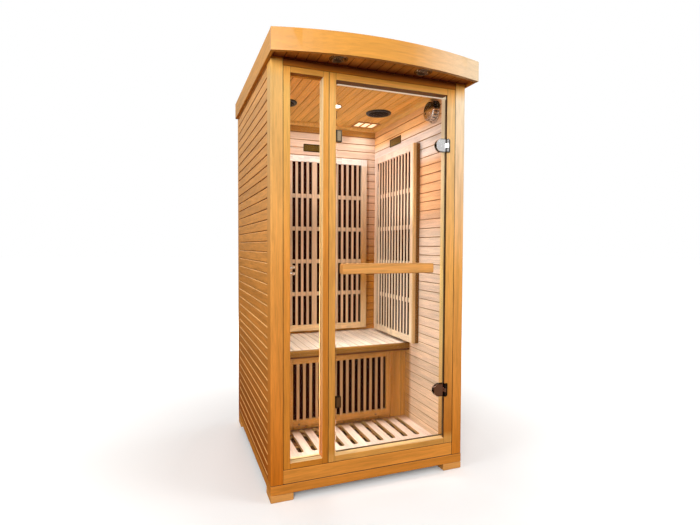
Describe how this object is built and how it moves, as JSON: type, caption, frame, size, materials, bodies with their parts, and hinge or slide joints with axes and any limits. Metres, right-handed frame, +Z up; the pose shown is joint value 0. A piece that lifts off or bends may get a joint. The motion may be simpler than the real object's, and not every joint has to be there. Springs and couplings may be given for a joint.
{
  "type": "infrared sauna cabin",
  "caption": "Upright one-person infrared sauna cabin in honey wood with a hinged glass door, side window, slatted heaters, bench and bow-fronted crown.",
  "frame": {"origin": "on the ground, under the middle of the overall box", "axes": "+Z up, +Y to the rear, +X to the right seen from the front; the door faces -Y"},
  "size_m": [0.948, 1.12, 1.9],
  "materials": {
    "honey_wood": "satin lacquered softwood boards",
    "pale_wood": "bare planed softwood",
    "roof_board": "unfinished board",
    "clear_glass": "clear toughened glass",
    "chrome": "polished",
    "steel": "satin",
    "emitter": "matt black heating panel",
    "black_plastic": "fine matt",
    "diffuser": "translucent opal"
  },
  "bodies": {
    "cabin": {"floor_panel": "honey_wood", "foot_front_left": "honey_wood", "foot_front_right": "honey_wood", "foot_rear_left": "honey_wood", "foot_rear_right": "honey_wood", "left_wall_panel": "honey_wood", "right_wall_panel": "honey_wood", "rear_wall_panel": "honey_wood", "front_left_post": "honey_wood", "front_right_post": "honey_wood", "front_header": "honey_wood", "front_sill": "honey_wood", "window_frame": "honey_wood", "door_frame": "honey_wood", "crown_front_fascia": "honey_wood", "crown_left_fascia": "honey_wood", "crown_right_fascia": "honey_wood", "crown_rear_fascia": "honey_wood", "ceiling_light_frame": "honey_wood", "duckboard": "pale_wood", "left_wall_lining": "pale_wood", "right_wall_lining": "pale_wood", "rear_wall_lining": "pale_wood", "ceiling_panel": "pale_wood", "rear_heater_cover": "pale_wood", "right_heater_cover": "pale_wood", "left_heater_cover": "pale_wood", "calf_heater_cover": "pale_wood", "bench_top": "pale_wood", "bench_nosing": "pale_wood", "bench_front_panel": "pale_wood", "cornice": "pale_wood", "roof_panel": "roof_board", "window_glass": "clear_glass", "upper_hinge_bracket": "chrome", "lower_hinge_bracket": "chrome", "left_downlight": "chrome", "right_downlight": "chrome", "ceiling_spot": "chrome", "ioniser": "chrome", "robe_hook": "chrome", "upper_magnet": "steel", "lower_magnet": "steel", "power_box": "steel", "rear_heater_emitter": "emitter", "right_heater_emitter": "emitter", "left_heater_emitter": "emitter", "calf_heater_emitter": "emitter", "left_speaker": "black_plastic", "right_speaker": "black_plastic", "control_panel": "black_plastic", "power_inlet": "black_plastic", "ceiling_light_diffuser": "diffuser"},
    "door": {"door_glass": "clear_glass", "outer_handle": "honey_wood", "inner_handle": "honey_wood", "upper_hinge_clamp": "chrome", "lower_hinge_clamp": "chrome", "upper_strike": "chrome", "lower_strike": "chrome"}
  },
  "joints": [
    {"name": "door_hinge", "type": "hinge", "parent": "cabin", "child": "door", "pos_m": [0.363, -0.417, 0.96], "axis": [0, 0, 1], "range_deg": [0, 110]}
  ]
}
